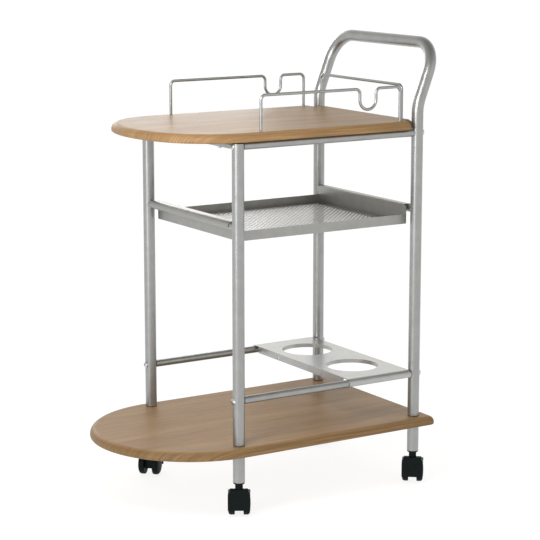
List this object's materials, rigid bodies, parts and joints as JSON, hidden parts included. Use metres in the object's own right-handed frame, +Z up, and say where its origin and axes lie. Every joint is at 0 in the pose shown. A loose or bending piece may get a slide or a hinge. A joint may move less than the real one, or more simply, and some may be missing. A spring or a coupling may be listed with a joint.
{
  "type": "hostess trolley",
  "caption": "Narrow serving trolley: half-round wooden shelves on a round-tube frame with a leaning push handle, wire galleries, lift-off mesh tray, sliding bottle rack and castors.",
  "frame": {"origin": "on the floor, under the middle of the whole trolley's outline", "axes": "+Z up; +X towards the push handle, the half-round end is at -X; -Y is the near long side"},
  "size_m": [0.638, 0.3947, 0.852],
  "materials": {
    "tube_silver": "satin",
    "sheet_silver": "satin",
    "tray_mesh": "satin",
    "wire_silver": "satin",
    "shelf_wood": "satin lacquer",
    "zinc_steel": "zinc plated",
    "pin_steel": "bright",
    "wheel_plastic": "matt",
    "hood_plastic": "matt",
    "socket_plastic": "matt"
  },
  "bodies": {
    "frame": {"bottom_shelf": "shelf_wood", "castor_sockets": "socket_plastic", "far_lower_rail": "tube_silver", "far_top_rail": "tube_silver", "foot_far_front": "tube_silver", "foot_far_rear": "tube_silver", "foot_inserts": "zinc_steel", "foot_near_front": "tube_silver", "foot_near_rear": "tube_silver", "frame_bolts": "zinc_steel", "front_leg_far": "tube_silver", "front_leg_near": "tube_silver", "front_top_rail": "tube_silver", "front_tray_rail": "tube_silver", "gallery_end": "wire_silver", "gallery_far": "wire_silver", "gallery_near": "wire_silver", "handle_hoop": "tube_silver", "leg_inserts": "socket_plastic", "leg_top_plugs": "socket_plastic", "near_lower_rail": "tube_silver", "near_top_rail": "tube_silver", "rail_inserts": "socket_plastic", "rear_top_rail": "tube_silver", "rear_tray_rail": "tube_silver", "shelf_screws": "zinc_steel", "shelf_studs": "zinc_steel", "top_shelf": "shelf_wood"},
    "tray": {"tray_frame": "sheet_silver", "tray_mesh": "tray_mesh"},
    "rack": {"bottle_rack": "sheet_silver"},
    "swivel_near_front": {"castor_near_front_hood": "hood_plastic", "castor_near_front_stem": "pin_steel", "castor_near_front_axle": "pin_steel"},
    "wheel_near_front_left": {"castor_near_front_wheel_left": "wheel_plastic"},
    "wheel_near_front_right": {"castor_near_front_wheel_right": "wheel_plastic"},
    "swivel_far_front": {"castor_far_front_hood": "hood_plastic", "castor_far_front_stem": "pin_steel", "castor_far_front_axle": "pin_steel"},
    "wheel_far_front_left": {"castor_far_front_wheel_left": "wheel_plastic"},
    "wheel_far_front_right": {"castor_far_front_wheel_right": "wheel_plastic"},
    "swivel_near_rear": {"castor_near_rear_hood": "hood_plastic", "castor_near_rear_stem": "pin_steel", "castor_near_rear_axle": "pin_steel"},
    "wheel_near_rear_left": {"castor_near_rear_wheel_left": "wheel_plastic"},
    "wheel_near_rear_right": {"castor_near_rear_wheel_right": "wheel_plastic"},
    "swivel_far_rear": {"castor_far_rear_hood": "hood_plastic", "castor_far_rear_stem": "pin_steel", "castor_far_rear_axle": "pin_steel"},
    "wheel_far_rear_left": {"castor_far_rear_wheel_left": "wheel_plastic"},
    "wheel_far_rear_right": {"castor_far_rear_wheel_right": "wheel_plastic"}
  },
  "joints": [
    {"name": "tray_lift", "type": "slide", "parent": "frame", "child": "tray", "axis": [0, 0, 1], "range_m": [0, 0.12]},
    {"name": "rack_slide", "type": "slide", "parent": "frame", "child": "rack", "axis": [-1, 0, 0], "range_m": [0, 0.22]},
    {"name": "castor_near_front_swivel", "type": "hinge", "parent": "frame", "child": "swivel_near_front", "pos_m": [-0.12503, -0.165, 0.0627], "axis": [0, 0, 1], "continuous": true},
    {"name": "castor_near_front_roll_left", "type": "hinge", "parent": "swivel_near_front", "child": "wheel_near_front_left", "pos_m": [-0.11761, -0.15313, 0.021], "axis": [0.848, -0.5299, 0], "continuous": true},
    {"name": "castor_near_front_roll_right", "type": "hinge", "parent": "swivel_near_front", "child": "wheel_near_front_right", "pos_m": [-0.11761, -0.15313, 0.021], "axis": [0.848, -0.5299, 0], "continuous": true},
    {"name": "castor_far_front_swivel", "type": "hinge", "parent": "frame", "child": "swivel_far_front", "pos_m": [-0.12503, 0.165, 0.0627], "axis": [0, 0, 1], "continuous": true},
    {"name": "castor_far_front_roll_left", "type": "hinge", "parent": "swivel_far_front", "child": "wheel_far_front_left", "pos_m": [-0.13475, 0.15493, 0.021], "axis": [-0.7193, 0.6947, 0], "continuous": true},
    {"name": "castor_far_front_roll_right", "type": "hinge", "parent": "swivel_far_front", "child": "wheel_far_front_right", "pos_m": [-0.13475, 0.15493, 0.021], "axis": [-0.7193, 0.6947, 0], "continuous": true},
    {"name": "castor_near_rear_swivel", "type": "hinge", "parent": "frame", "child": "swivel_near_rear", "pos_m": [0.26497, -0.165, 0.0627], "axis": [0, 0, 1], "continuous": true},
    {"name": "castor_near_rear_roll_left", "type": "hinge", "parent": "swivel_near_rear", "child": "wheel_near_rear_left", "pos_m": [0.27359, -0.15397, 0.021], "axis": [0.788, -0.6157, 0], "continuous": true},
    {"name": "castor_near_rear_roll_right", "type": "hinge", "parent": "swivel_near_rear", "child": "wheel_near_rear_right", "pos_m": [0.27359, -0.15397, 0.021], "axis": [0.788, -0.6157, 0], "continuous": true},
    {"name": "castor_far_rear_swivel", "type": "hinge", "parent": "frame", "child": "swivel_far_rear", "pos_m": [0.26497, 0.165, 0.0627], "axis": [0, 0, 1], "continuous": true},
    {"name": "castor_far_rear_roll_left", "type": "hinge", "parent": "swivel_far_rear", "child": "wheel_far_rear_left", "pos_m": [0.2757, 0.174, 0.021], "axis": [0.6428, -0.766, 0], "continuous": true},
    {"name": "castor_far_rear_roll_right", "type": "hinge", "parent": "swivel_far_rear", "child": "wheel_far_rear_right", "pos_m": [0.2757, 0.174, 0.021], "axis": [0.6428, -0.766, 0], "continuous": true}
  ]
}
